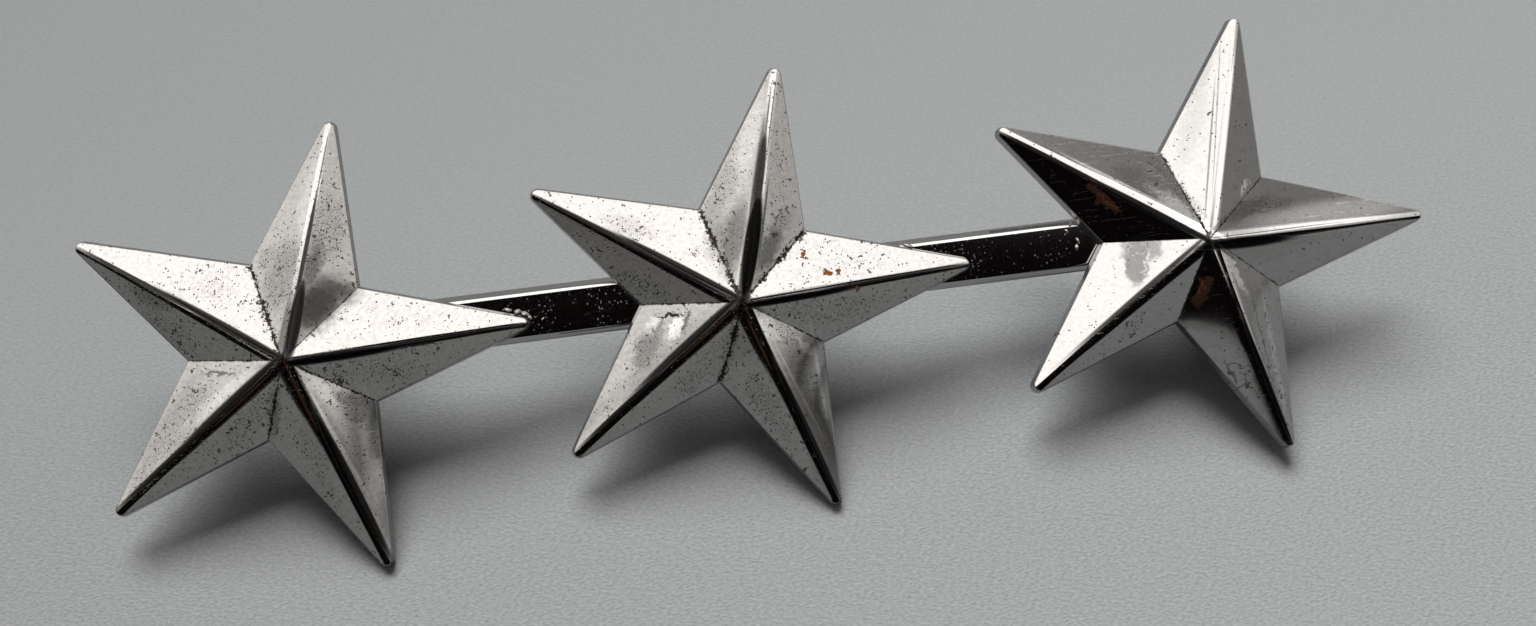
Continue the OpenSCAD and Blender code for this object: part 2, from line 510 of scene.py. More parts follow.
# %% Make the bar
BAR_PAST_STAR = 3.2
BAR_START = STARS[0]["along"] - BAR_PAST_STAR
BAR_END = STARS[2]["along"] + BAR_PAST_STAR
BAR_WIDTH, BAR_THICKNESS, BAR_BEVEL = 3.0, 1.0, 0.35
BAR_ROLL, BAR_ROLL_STEPS = 0.1, 3
BAR_OFFSET = 0.47


def long_edges(bm):
    return [e for e in bm.edges if abs(e.verts[0].co.x - e.verts[1].co.x) > BAR_WIDTH]


def make_bar():
    bm = bmesh.new()
    bmesh.ops.create_cube(bm, size=1)
    bmesh.ops.scale(bm, vec=(BAR_END - BAR_START, BAR_WIDTH, BAR_THICKNESS), verts=bm.verts)
    bevel(bm, long_edges(bm), BAR_BEVEL, segments=1)
    bevel(bm, list(bm.edges), BAR_ROLL, BAR_ROLL_STEPS)
    middle = Vector(((BAR_START + BAR_END) / 2, BAR_OFFSET, -BAR_THICKNESS / 2))
    bmesh.ops.translate(bm, vec=middle, verts=bm.verts)
    return bm


bar = finish_piece(make_bar(), "polished_bar", lying, "bar")
print("bar faces", len(bar.data.polygons))

# %% [markdown]
# Where the stars are soldered to the bar, a few small beads of solder show. Each is an
# icosphere, squashed and turned, half sunk into the bar. Each row gives a bead's place x, y
# on the bar's face, its half length, half width and height, and its turn in degrees.

# %% Make the solder beads
BEAD_DETAIL = 3
BEADS = [
    (-12.62, 0.86, 0.22, 0.10, 0.20, -25),
    (-12.12, 0.68, 0.20, 0.15, 0.34, 20),
    (-11.74, 0.52, 0.26, 0.14, 0.34, -25),
    (-11.50, 0.30, 0.18, 0.11, 0.26, -60),
    (-10.80, 0.14, 0.12, 0.05, 0.08, 40),
    (9.78, 1.62, 0.30, 0.10, 0.16, -25),
    (18.98, 1.52, 0.09, 0.07, 0.12, 0),
    (18.76, 1.32, 0.14, 0.09, 0.12, -60),
    (19.03, 1.72, 0.10, 0.08, 0.20, 30),
    (19.33, 0.70, 0.20, 0.09, 0.14, -70),
    (19.22, 0.36, 0.18, 0.10, 0.12, 75),
]


def make_solder():
    bm = bmesh.new()
    for x, y, long, wide, high, turn in BEADS:
        place = (
            Matrix.Translation((x, y, 0))
            @ Matrix.Rotation(math.radians(turn), 4, "Z")
            @ Matrix.Diagonal((long, wide, high, 1))
        )
        bmesh.ops.create_icosphere(bm, subdivisions=BEAD_DETAIL, radius=1, matrix=place)
    return bm


solder = add_object(make_solder(), "solder_beads", lying)
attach(solder, "root")
print("solder beads:", len(BEADS), "faces", len(solder.data.polygons))

# %% [markdown]
# The two posts behind the bar hold the row on cloth. Each is turned metal, so it is made
# the way a lathe makes it: half of its profile is drawn as a line, and Spin turns that
# line round the axis. Each row of the profile is a radius and a depth below the bar.

# %% Make the posts
POST_TOP = -1.03
POST_PROFILE = [
    (0.0, 0.0),
    (1.22, 0.0),
    (1.3, 0.08),
    (1.3, 0.22),
    (1.22, 0.3),
    (0.62, 0.3),
    (0.55, 0.37),
    (0.55, 5.95),
    (0.52, 6.08),
    (0.18, 6.92),
    (0.1, 7.0),
    (0.0, 7.0),
]
POST_STEPS = 48
SEAM_SNAP = 0.0001


def make_post(along):
    bm = bmesh.new()
    points = [bm.verts.new((radius, 0, -down)) for radius, down in POST_PROFILE]
    edges = [bm.edges.new(pair) for pair in zip(points, points[1:])]
    bmesh.ops.spin(
        bm,
        geom=points + edges,
        cent=(0, 0, 0),
        axis=(0, 0, 1),
        angle=2 * math.pi,
        steps=POST_STEPS,
        use_merge=True,
    )
    bmesh.ops.remove_doubles(bm, verts=bm.verts, dist=SEAM_SNAP)
    bmesh.ops.recalc_face_normals(bm, faces=bm.faces)
    bmesh.ops.translate(bm, vec=(along, BAR_OFFSET, POST_TOP), verts=bm.verts)
    return bm


post_pieces = []
for node, along in (("post_left", STARS[0]["along"]), ("post_right", STARS[2]["along"])):
    post = finish_piece(make_post(along), "turned_" + node, lying, node)
    post_pieces.append(post)
    print(post.name, "faces", len(post.data.polygons))

# %% [markdown]
# Shaders are built from nodes. These helpers add one node at a time and wire it up, so
# that each finish below reads as a short recipe. A number is set on a socket, and another
# node's output is linked to it. A noise is named below by its scale, detail and roughness,
# and a ramp by the two values that it reads and the two that it turns them into.

# %% Helpers for wiring nodes
class Recipe:
    def __init__(self, tree):
        self.tree = tree
        self.tree.nodes.clear()

    def feed(self, node, sockets):
        for name, value in sockets.items():
            if isinstance(value, bpy.types.NodeSocket):
                self.tree.links.new(value, node.inputs[name])
            else:
                node.inputs[name].default_value = value

    def add(self, kind, sockets=None, **settings):
        node = self.tree.nodes.new(kind)
        for name, value in settings.items():
            setattr(node, name, value)
        self.feed(node, sockets or {})
        return node

    def math(self, operation, a, b=0.0, clamp=False):
        node = self.add("ShaderNodeMath", {0: a, 1: b}, operation=operation, use_clamp=clamp)
        return node.outputs[0]

    def plus(self, a, b):
        return self.math("ADD", a, b)

    def minus(self, a, b):
        return self.math("SUBTRACT", a, b)

    def times(self, a, b):
        return self.math("MULTIPLY", a, b)

    def higher(self, a, b):
        return self.math("MAXIMUM", a, b)

    def vector(self, operation, sockets, output="Vector"):
        node = self.add("ShaderNodeVectorMath", sockets, operation=operation)
        return node.outputs[output]

    def dot(self, a, b):
        return self.vector("DOT_PRODUCT", {0: a, 1: b}, "Value")

    def split(self, vector):
        return self.add("ShaderNodeSeparateXYZ", {0: vector}).outputs[:]

    def turned(self, place, turn, scale):
        sockets = {"Vector": place, "Rotation": (0, 0, math.radians(turn)), "Scale": scale}
        return self.add("ShaderNodeMapping", sockets, vector_type="POINT").outputs[0]

    def ramp(self, value, low, high, to_low=0.0, to_high=1.0):
        names = ("Value", "From Min", "From Max", "To Min", "To Max")
        sockets = dict(zip(names, (value, low, high, to_low, to_high)))
        node = self.add("ShaderNodeMapRange", sockets, interpolation_type="SMOOTHSTEP")
        return node.outputs["Result"]

    def mix(self, share, a, b):
        sockets = {"Factor": share, "A": a, "B": b}
        return self.add("ShaderNodeMix", sockets, data_type="RGBA").outputs["Result"]

    def noise(self, place, scale, detail=2.0, roughness=0.5, output="Fac"):
        sockets = {"Vector": place, "Scale": scale, "Detail": detail, "Roughness": roughness}
        return self.add("ShaderNodeTexNoise", sockets).outputs[output]

    def cells(self, place, scale):
        node = self.add("ShaderNodeTexVoronoi", {"Vector": place, "Scale": scale})
        return node.outputs["Distance"], node.outputs["Color"]

    def bump(self, height, strength, distance):
        sockets = {"Height": height, "Strength": strength, "Distance": distance}
        return self.add("ShaderNodeBump", sockets).outputs["Normal"]

    def note(self, name, output="Vector"):
        return self.add("ShaderNodeAttribute", attribute_name=name).outputs[output]

    def own_place(self):
        return self.add("ShaderNodeTexCoord").outputs["Object"]


def new_material(name):
    material = bpy.data.materials.new(name)
    material.use_nodes = True
    recipe = Recipe(material.node_tree)
    shader = recipe.add("ShaderNodeBsdfPrincipled")
    recipe.add("ShaderNodeOutputMaterial", {"Surface": shader.outputs["BSDF"]})
    return material, recipe, shader


def grey(value, warmth=0.0):
    return (value * (1 + warmth), value, value * (1 - warmth), 1)


print("a slightly warm grey:", [round(c, 3) for c in grey(0.4, 0.05)])

# %% [markdown]
# The stars are plated metal that has aged. Up close the plating is full of fine dark pits,
# a black grime fills the valleys, and the mirror is a little wavy. All of it is patterned
# on the notes that each corner keeps, so it lies on the star wherever the star is seen
# from.
#
# Chance alone wouldn't give these three stars their own faces, so each has a table of marks
# as well: a dark cloud here, a cluster of pits there, a few rusty specks. Many of the marks
# that darken or lighten the metal are painted light: painted shade where a facet mirrors
# dark parts of the room and the shadow on the table, and painted highlights where it
# mirrors the bright overhead. A mark is an oval on the flat star, with a ragged border or a
# smooth one. Each row holds its middle x and y, half its length and half its width in
# millimetres and its turn in degrees. Then comes its shade, which darkens the metal below 1
# and lightens it above 1, the softness of its border, and how much it adds in pits and in
# brown, which is real rust in some marks and a painted brown reflection in others.
#
# A ridge mark lies along one arm's ridge. Its row holds the arm, where it starts and ends
# on the way from the apex to the tip, how far it lies aside to the left of that way, half
# its width, its shade and its softness. It is a painted reflection: it paints the dark or
# bright band that a ridge mirrors beside itself at its true width, which the mirrored room
# alone doesn't quite give.

# %% Kinds of marks
Mark = namedtuple("Mark", "x y long wide turn shade soft pits rust", defaults=(0.6, 0, 0))
RIGHT, TOP, LEFT, LOWER_LEFT, LOWER_RIGHT = range(len(ARMS))
MARKS = {}


# A ridge mark is a painted reflection: the dark or bright band that a ridge mirrors.
def painted_ridge_reflection(arm, start, end, aside, wide, shade, soft=0.4):
    ahead = (tip_centre(arm) - APEX).normalized()
    middle = APEX + ahead * (start + end) / 2 + Vector((-ahead.y, ahead.x)) * aside
    return Mark(middle.x, middle.y, (end - start) / 2, wide, turn_of(ahead), shade, soft)


def keep_marks(node, ridge_reflections, smooth, ragged):
    MARKS[node] = [("smooth", painted_ridge_reflection(*row)) for row in ridge_reflections]
    MARKS[node] += [("smooth", Mark(*row)) for row in smooth]
    MARKS[node] += [("ragged", Mark(*row)) for row in ragged]
    print(node, "has", len(MARKS[node]), "marks")


print("a mark keeps", Mark._fields, "and fills up with", Mark._field_defaults)

# %% [markdown]
# The left star is worn most. A dark patch lies on the right half of its top arm, pits gather
# on the lower left arm, and a thin brown line follows two of the ridges. The dark marks
# towards the tip of its lower right arm are painted shade, where that facet mirrors the
# shadow on the table.

# %% Marks on the left star
# Painted reflections beside the ridges.
ridge_reflections = [
    (RIGHT, -1, 6.5, -0.2, 0.27, 0.03),
    (RIGHT, 3.5, 13, -0.09, 0.13, 0.03),
    (LOWER_LEFT, -1, 8, -0.27, 0.23, 0.05, 0.5),
    (LOWER_LEFT, 4, 12.5, -0.2, 0.17, 0.05, 0.5),
    (LOWER_RIGHT, 2.5, 12.6, 0.25, 0.27, 0.03),
    (LOWER_RIGHT, 2.5, 12, 0.6, 0.4, 0.6, 0.8),
    (LEFT, -1, 8, -0.09, 0.2, 0.05),
    (LEFT, 5, 12.6, 0.02, 0.12, 0.08),
    (TOP, -0.5, 3.8, 0.2, 0.22, 0.25, 0.8),
]
smooth = [
    (3.7, -6, 2.6, 0.45, -90, 2, 0.8),
    (-7, -3.3, 3.4, 0.6, 53, 0.75, 0.9),
    (0.85, 1.7, 2.4, 0.36, 73, 0.04, 0.35),
    (1.75, 5.2, 3.6, 0.12, 73, 0.08, 0.3),
    (3.1, 9.6, 2.2, 0.05, 73, 0.3, 0.3),
    (3.4, -8.4, 3, 0.7, -80, 0.7, 0.8),
    (2.3, -5.4, 3.2, 0.1, -70, 1.5, 0.4),
    (-2.4, -2.05, 2.6, 0.07, 35, 1, 0.6, 0, 0.35),
    (0.7, -2.6, 2, 0.08, -72, 1, 0.6, 0, 0.35),
]
ragged = [
    (2, 2.4, 1.7, 1.05, 42, 0.18, 0.8),
    (2.9, 3.1, 1.3, 0.65, -20, 0.28, 0.8),
    (2, 4.4, 1.6, 0.5, 70, 0.42, 0.8, 0.5),
    (3, 6.4, 1.5, 0.8, 80, 0.9, 0.6, 0.7),
    (0.4, 4.2, 1.9, 0.9, 65, 0.72, 0.6, 0.8),
    (-0.3, 5.3, 0.7, 0.5, 45, 0.85, 0.6, 0.7),
    (2.2, 8.2, 2.2, 0.35, 70, 1.22),
    (-3.2, 3.9, 1.6, 0.7, -35, 1, 0.9, 0.55),
    (5.4, 1.4, 2, 0.5, -20, 1, 0.6, 0.3),
    (-4, -2, 2.6, 0.3, 33, 1.25),
    (-6, -2.9, 2.4, 0.8, 50, 0.78, 0.6, 0.9),
    (-8.3, -5.6, 1.2, 0.5, 50, 0.85, 0.6, 0.9),
    (-3.6, -0.5, 1, 0.1, -3, 0.35),
    (-1, -3, 1.4, 0.3, 78, 0.75, 0.6, 0.9),
    (3.1, -2.9, 0.9, 0.4, -30, 0.55, 0.6, 0.8),
    (1.7, -2.2, 1, 0.3, -60, 1.2),
    (3.2, -3.6, 0.8, 0.5, -40, 0.7, 0.6, 0.7),
    (3.9, -4.3, 1, 0.28, -85, 1.6),
    (-6.8, 4, 1.2, 0.4, -38, 0.75, 0.6, 0.9),
    (-6, 1.9, 1.5, 0.6, -40, 1, 0.6, 0.9),
    (5.6, -1.7, 0.9, 0.05, -35, 0.4, 0.3),
    (4.6, -1.4, 2.4, 0.6, -8, 1, 0.6, 0.6),
    (-2.6, -3.4, 2.6, 0.6, 38, 1, 0.6, 0.6),
    (0.9, -6.2, 2.4, 0.5, -72, 1, 0.6, 0.6),
    (7, -0.4, 1, 0.12, 2, 0.2, 0.4),
    (0, -0.4, 0.5, 0.35, 10, 0.12, 0.6, 0, 0.2),
]
keep_marks("star_left", ridge_reflections, smooth, ragged)

# %% [markdown]
# The middle star has a broad dark band on its top arm, which is a painted reflection of what
# that ridge mirrors, a dented look on its lower left arm, made of painted shade and painted
# highlights, and a few specks of real rust on the right one.

# %% Marks on the middle star
# Painted reflections beside the ridges.
ridge_reflections = [
    (RIGHT, -1, 6.5, -0.24, 0.2, 0.03),
    (RIGHT, 3.5, 13, -0.11, 0.13, 0.03),
    (LOWER_LEFT, -1, 8, -0.36, 0.24, 0.04, 0.5),
    (LEFT, -1, 8, -0.14, 0.18, 0.04),
    (LEFT, 4, 12.8, 0.05, 0.12, 0.04),
    (TOP, -0.5, 6, 0.16, 0.24, 0.08, 0.6),
    (TOP, 2.5, 10.5, 0.2, 0.16, 0.12, 0.7),
    (LOWER_LEFT, 5, 11.8, -0.2, 0.14, 0.04, 0.5),
    (LOWER_LEFT, 2, 12, -0.8, 0.5, 0.7, 0.8),
    (LOWER_RIGHT, 3, 12.8, 0.2, 0.2, 0.04),
]
smooth = [
    (0.95, 2.6, 3.2, 0.44, 73, 0.01, 0.25),
    (1.95, 6.2, 2.8, 0.25, 74, 0.06, 0.3),
    (2.75, 8.9, 2.4, 0.05, 74, 0.25, 0.3),
    (3, 9, 2.4, 0.04, 74, 0.45, 0.3),
    (1.75, 3.6, 2.6, 0.06, 74, 0.35, 0.4),
    (2.2, 6, 2.4, 0.07, 76, 1.7, 0.3),
    (3.75, -5, 2.2, 0.12, -88, 1.6, 0.8),
    (3.3, -8.6, 3, 0.7, -80, 0.5, 0.8),
    (2.5, -5.6, 3, 0.08, -70, 1.5, 0.4),
    (-2.2, -1.8, 2.4, 0.08, 35, 1, 0.6, 0, 0.33),
    (0.6, -2.6, 2, 0.08, -72, 1, 0.6, 0, 0.33),
    (-3.7, 2.26, 4.2, 0.13, -36, 0.05, 0.4),
]
ragged = [
    (0.1, 3.2, 2, 0.6, 68, 0.42),
    (-0.5, 3.4, 1.3, 0.7, 55, 0.65, 0.6, 0.5),
    (1.7, 8.3, 2.6, 0.5, 66, 1.25),
    (0.2, 6.3, 1.2, 0.6, 60, 0.85, 0.6, 1),
    (-0.7, 5, 0.9, 0.5, 60, 0.8, 0.6, 1),
    (1.9, 2.3, 1.4, 0.5, 55, 0.4),
    (3.2, 6.5, 2.2, 0.22, 85, 1.1, 0.6, 0.6),
    (2.7, 3.6, 1.1, 0.5, 40, 0.8, 0.6, 0.5),
    (2.65, 4, 0.7, 0.05, 60, 0.3, 0.3),
    (3.8, 1.85, 0.28, 0.09, -50, 1, 0.2, 0, 1),
    (4.95, 0.65, 0.24, 0.11, -35, 1, 0.2, 0, 1),
    (5.55, 0.6, 0.18, 0.15, 0, 1, 0.2, 0, 1),
    (6.4, -0.42, 0.18, 0.09, 40, 1, 0.2, 0, 1),
    (-5.4, 4.9, 1.1, 0.1, 25, 1, 0.4, 0, 0.12),
    (-4.4, 4.2, 0.9, 0.08, -20, 1, 0.4, 0, 0.12),
    (-5.6, 4.7, 1.6, 0.5, -25, 0.88, 0.6, 0.4),
    (-7.3, 2.7, 1.4, 0.06, -40, 1, 0.4, 0, 0.15),
    (-5.6, 1.5, 1.6, 0.6, -30, 1, 0.6, 0.9),
    (-3.9, -0.45, 0.8, 0.08, -3, 0.05, 0.3),
    (-4.9, -0.9, 0.5, 0.3, 50, 1.5),
    (-5.4, -2.1, 1.3, 0.6, 55, 0.5, 0.6, 1),
    (-7.6, -4.6, 1.6, 0.35, 45, 1.15),
    (-3.75, -1.2, 0.7, 0.32, 65, 1.7, 0.3),
    (-4.6, -1, 0.7, 0.16, 60, 0.5),
    (-3.05, -0.9, 0.7, 0.14, 70, 0.35, 0.4),
    (1.3, -1.9, 0.8, 0.4, -50, 1.5),
    (3.2, -3.2, 0.7, 0.22, -50, 1.8, 0.4),
    (2.4, -2.6, 1.2, 0.5, -45, 1.1, 0.6, 0.7),
    (0, -0.4, 0.5, 0.35, 10, 0.1, 0.6, 0, 0.15),
    (0.1, -5.2, 0.9, 0.5, 80, 1, 0.6, 1),
    (-1, -2.6, 1.8, 0.25, 70, 0.8, 0.6, 1),
    (5.2, -1.5, 1.8, 0.5, 10, 1, 0.6, 1),
    (4.4, -1.3, 2.4, 0.6, -8, 1, 0.6, 0.7),
    (-2.4, -3.4, 2.4, 0.6, 40, 1, 0.6, 0.7),
    (0.9, -6.4, 2.2, 0.5, -72, 1, 0.6, 0.7),
]
keep_marks("star_middle", ridge_reflections, smooth, ragged)

# %% [markdown]
# The right star is the cleanest. Its marks are mostly painted highlights and fine scratches,
# with a faint painted brown reflection on its two dark facets, and a grey patch on its lower
# left arm that is a painted reflection as well.

# %% Marks on the right star
# Painted reflections beside the ridges.
ridge_reflections = [
    (RIGHT, -1, 5, -0.42, 0.3, 0.02),
    (RIGHT, 3, 12.8, -0.13, 0.1, 0.35, 0.5),
    (LOWER_LEFT, -1, 9.5, -0.22, 0.14, 0.1, 0.6),
    (LOWER_RIGHT, 4, 13, 0.07, 0.15, 0.03),
    (LEFT, -1.5, 8.5, 0.12, 0.2, 0.02, 0.3),
    (LEFT, 4, 13, 0.08, 0.13, 0.02, 0.3),
    (LEFT, -1, 8.5, -0.48, 0.14, 2.8),
    (TOP, 0.5, 11, -0.22, 0.14, 2.4),
]
smooth = [
    (0.95, 4.6, 4.2, 0.05, 75, 0.45, 0.4),
    (1.75, 6.8, 4.6, 0.04, 76, 0.6, 0.4),
    (7.9, 0.5, 4.6, 0.75, 3, 2.6, 0.8),
]
ragged = [
    (-1.1, 2.9, 2.2, 0.35, -62, 0.85, 0.6, 1, 0.08),
    (-1.9, 3.9, 0.8, 0.4, -60, 1, 0.6, 1, 0.1),
    (0.5, 6.5, 2.6, 0.6, 66, 0.88),
    (1.5, 9.3, 2.2, 0.45, 64, 0.8, 0.8),
    (-3, 3.3, 1.6, 0.7, -35, 0.75, 0.6, 0.6),
    (-2, 2.3, 1, 0.2, -35, 1.6, 0.6, 0.8),
    (2.7, 1.2, 1.6, 0.4, 20, 0.55),
    (-1.3, 1.6, 1.9, 0.45, -50, 2.4, 0.8),
    (4, 1.4, 1.6, 0.4, 0, 0.75, 0.6, 0.6),
    (2.8, 2.5, 0.5, 0.16, 50, 2.2, 0.6, 0.4),
    (-3.5, -0.3, 1, 0.9, 0, 0.5, 0.3),
    (-3.8, -1, 1.3, 0.6, 75, 0.42, 0.3),
    (-3.35, -1.1, 0.7, 0.06, 60, 1.7, 0.5),
    (-3.6, -0.5, 0.5, 0.05, 15, 1.5, 0.5),
    (-3, -2.4, 1.2, 0.07, 45, 0.5, 0.6, 0.6),
    (-4.5, -4.6, 1.2, 0.4, 40, 1, 0.6, 0.7),
    (-0.45, -3.1, 0.9, 0.36, 65, 1, 0.9, 0, 0.42),
    (-0.55, -2.9, 0.6, 0.05, 65, 1, 0.5, 0, 0.75),
    (-0.4, -2.65, 0.5, 0.05, -58, 1, 0.5, 0, 0.7),
    (-5.3, 2.75, 1.2, 0.26, -53, 1, 0.9, 0, 0.42),
    (-5.2, 2.65, 0.9, 0.05, -60, 1, 0.5, 0, 0.75),
    (-4.7, 2.1, 0.45, 0.05, -25, 1, 0.5, 0, 0.7),
    (1.4, -2.2, 1.2, 0.2, -65, 2.2),
    (3.35, -7, 3.6, 0.16, -85, 1.5, 0.6, 1),
    (2.7, -6, 3, 0.05, -82, 0.5, 0.4),
    (0.9, -7.7, 0.9, 0.04, -70, 0.35, 0.3),
    (1.7, -8.4, 1, 0.04, -65, 0.35, 0.3),
    (1.2, -8.6, 0.6, 0.04, 20, 0.35, 0.3),
    (1.4, -7.4, 0.7, 0.04, -20, 0.35, 0.3),
]
keep_marks("star_right", ridge_reflections, smooth, ragged)

# %% [markdown]
# One small node group turns a place into the strength of one oval mark. A Mapping node of
# the Texture kind moves, turns and sizes the oval in one step, and the length of the
# result is 1 on the oval's border. A group is made once and used for every mark.


# %% Node group for one mark
def make_mark_group():
    group = bpy.data.node_groups.new("oval_mark", "ShaderNodeTree")
    for name in ("Place", "Centre", "Turn", "Size", "Soft"):
        kind = "NodeSocketFloat" if name == "Soft" else "NodeSocketVector"
        group.interface.new_socket(name, in_out="INPUT", socket_type=kind)
    group.interface.new_socket("Strength", in_out="OUTPUT", socket_type="NodeSocketFloat")
    recipe = Recipe(group)
    given = recipe.add("NodeGroupInput").outputs
    names = {"Vector": "Place", "Location": "Centre", "Rotation": "Turn", "Scale": "Size"}
    sockets = {socket: given[name] for socket, name in names.items()}
    inside = recipe.add("ShaderNodeMapping", sockets, vector_type="TEXTURE").outputs[0]
    length = recipe.vector("LENGTH", {0: inside}, "Value")
    low = recipe.minus(1.0, given["Soft"])
    high = recipe.plus(1.0, given["Soft"])
    recipe.add("NodeGroupOutput", {"Strength": recipe.ramp(length, low, high, 1.0, 0.0)})
    return group


def mark_strength(recipe, place, row, number):
    sockets = {
        "Place": place,
        "Centre": (row.x, row.y, STAR_APART * number),
        "Turn": (0, 0, math.radians(row.turn)),
        "Size": (row.long, row.wide, 1),
        "Soft": row.soft,
    }
    return recipe.add("ShaderNodeGroup", sockets, node_tree=MARK_GROUP).outputs["Strength"]


def all_marks(recipe, place, ragged_place, node, number):
    places = {"smooth": place, "ragged": ragged_place}
    darker, painted_highlights, pits, rust = 1.0, 1.0, 0.0, 0.0
    for border, row in MARKS[node]:
        strength = mark_strength(recipe, places[border], row, number)
        # A shade below 1 paints shade and one above 1 paints a highlight, mostly standing for what a
        # facet mirrors.
        tone = recipe.ramp(strength, 0.0, 1.0, 1.0, row.shade)
        if row.shade < 1:
            darker = recipe.math("MINIMUM", tone, darker)
        if row.shade > 1:
            painted_highlights = recipe.higher(tone, painted_highlights)
        if row.pits:
            pits = recipe.higher(recipe.times(strength, row.pits), pits)
        if row.rust:
            rust = recipe.higher(recipe.times(strength, row.rust), rust)
    return recipe.times(darker, painted_highlights), pits, rust


MARK_GROUP = make_mark_group()
print("nodes in the group:", len(MARK_GROUP.nodes))

# %% [markdown]
# Dirt on metal has a crisp but uneven border. So one ragged copy of the place is made, and
# patterns that read it wander a little. Pits are cells of a Voronoi texture: each cell has
# a random tint, and only the cells with the highest tints become pits, so a crowded patch
# gets more of them and not larger ones. Grime fills each valley as far as its note says.

# %% Ragged place, pits and grime
WOBBLE_NOISE, WOBBLE_SWING = (2.2, 5.0, 0.65), 1.1
CROWD_NOISE, CROWD_SPAN = (0.45, 3.0, 0.6), (0.34, 0.64)
CROWD_LEAST, CROWD_MOST = 0.2, 0.55
FINE_PITS = {"scale": 8.5, "radius": 0.42, "chance": (0.93, 0.40)}
COARSE_PITS = {"scale": 3.6, "radius": 0.36, "chance": (0.94, 0.42)}
RED = (1, 0, 0)
NO_PIT, PIT_EDGE = -0.08, (-0.06, 0.04, 1.0, 0.0)
CRUMB_NOISE, CRUMB_CHANCE, CRUMB_EDGE = (9.0, 4.0, 0.85), (0.68, 0.56), (0.0, 0.04, 0.0, 0.95)
GRIME_NOISE, GRIME_REACH = (6.0, 4.0, 0.75), (0.38, 0.72, 0.04, 0.44)
GAP_NOISE, GAP_SHARE = (1.3, 2.0), (0.36, 0.58, 0.25, 1.0)
GRIME_EDGE = (-0.04, 0.05, 1.0, 0.0)


def ragged_copy(recipe, place):
    swing = WOBBLE_SWING
    wobble = recipe.noise(place, *WOBBLE_NOISE, output="Color")
    sockets = {0: wobble, 1: (swing, swing, 0.0), 2: (-swing / 2, -swing / 2, 0.0)}
    return recipe.vector("ADD", {0: place, 1: recipe.vector("MULTIPLY_ADD", sockets)})


def crowding(recipe, place, wear, extra_pits):
    clusters = recipe.noise(place, *CROWD_NOISE)
    crowd = recipe.ramp(clusters, *CROWD_SPAN, CROWD_LEAST * wear, CROWD_MOST * wear)
    return recipe.plus(crowd, extra_pits)


def pit_pattern(recipe, place, crowd, kind):
    chance_from = recipe.ramp(crowd, 0.0, 1.0, *kind["chance"])
    distance, tint = recipe.cells(place, kind["scale"])
    chance = recipe.dot(tint, RED)
    size = recipe.ramp(chance, chance_from, 1.0, NO_PIT, kind["radius"])
    return recipe.ramp(recipe.minus(distance, size), *PIT_EDGE)


def crumb_pattern(recipe, place, crowd):
    crumbs_from = recipe.ramp(crowd, 0.0, 1.0, *CRUMB_CHANCE)
    return recipe.ramp(recipe.minus(recipe.noise(place, *CRUMB_NOISE), crumbs_from), *CRUMB_EDGE)


def grime_in_valleys(recipe, place, valley, dirt):
    reach = recipe.ramp(recipe.noise(place, *GRIME_NOISE), *GRIME_REACH)
    gaps = recipe.ramp(recipe.noise(place, *GAP_NOISE), *GAP_SHARE)
    reach = recipe.times(dirt, recipe.times(reach, gaps))
    return recipe.ramp(recipe.minus(valley, reach), *GRIME_EDGE)


print("dirtiest valleys:", {node: max(table) for node, table in VALLEY_DIRT.items()})

# %% [markdown]
# The colour is a neutral metal grey with a slight mottle, a few cream clouds where the
# plating is thin, and brown where it rusts and where a brown reflection is painted on. Rust
# isn't metal any more, so the same share also makes it dull, and the painted brown
# reflection with it. The marks' shade scales the metal's colour, and so paints shade and
# highlights into it. The wall of the star is duller than its face as well.

# %% Colours of the plating
PLATING_TONE, LEAST_SPREAD, SPREAD_BY_WEAR, WARMTH_BY_WEAR = 0.315, 0.01, 0.035, 0.02
MOTTLE_NOISE, MOTTLE_SHARE = (4.5, 5.0, 0.75), (0.32, 0.68)
CREAM_NOISE, CREAM_SHARE = (1.7, 5.0, 0.7), (0.5, 0.75, 0.0, 0.5)
CREAM, GRIME = (0.245, 0.228, 0.197, 1), (0.016, 0.013, 0.010, 1)
DEEP_RUST_AND_REFLECTION, FRESH_RUST_AND_REFLECTION = (0.022, 0.010, 0.006, 1), (0.14, 0.055, 0.020, 1)
RUST_AND_REFLECTION_FLECKS, RUST_AND_REFLECTION_EDGE = (0.2, 0.5), (0.12, 0.35)
RUST_AND_REFLECTION_TONE, RUST_AND_REFLECTION_PAINT = (0.55, 1.0), (0.0, 0.25)
METAL_LEFT, SHEEN_LEFT = (0.25, 0.9, 1.0, 0.0), (0.0, 1.0, 0.5, 0.05)
DIRT_DULLS, DARK_MARK_DULLS = (0.0, 1.0, 0.12, 0.3), (0.1, 1.0, 0.34, 0.0)
WALL_DULLS = (FAR - 1, FAR, 0.0, 0.32)


def plating_colour(recipe, place, wear, shade):
    spread, warmth = LEAST_SPREAD + SPREAD_BY_WEAR * wear, WARMTH_BY_WEAR * wear
    tones = [grey(PLATING_TONE + step, warmth) for step in (-spread, spread)]
    mottle = recipe.ramp(recipe.noise(place, *MOTTLE_NOISE), *MOTTLE_SHARE)
    clouds = recipe.ramp(recipe.noise(place, *CREAM_NOISE), *CREAM_SHARE)
    cream = recipe.mix(clouds, recipe.mix(mottle, *tones), CREAM)
    # Here the marks' shade scales the colour, which paints shade and highlights into the metal.
    return recipe.vector("SCALE", {0: cream, "Scale": shade})


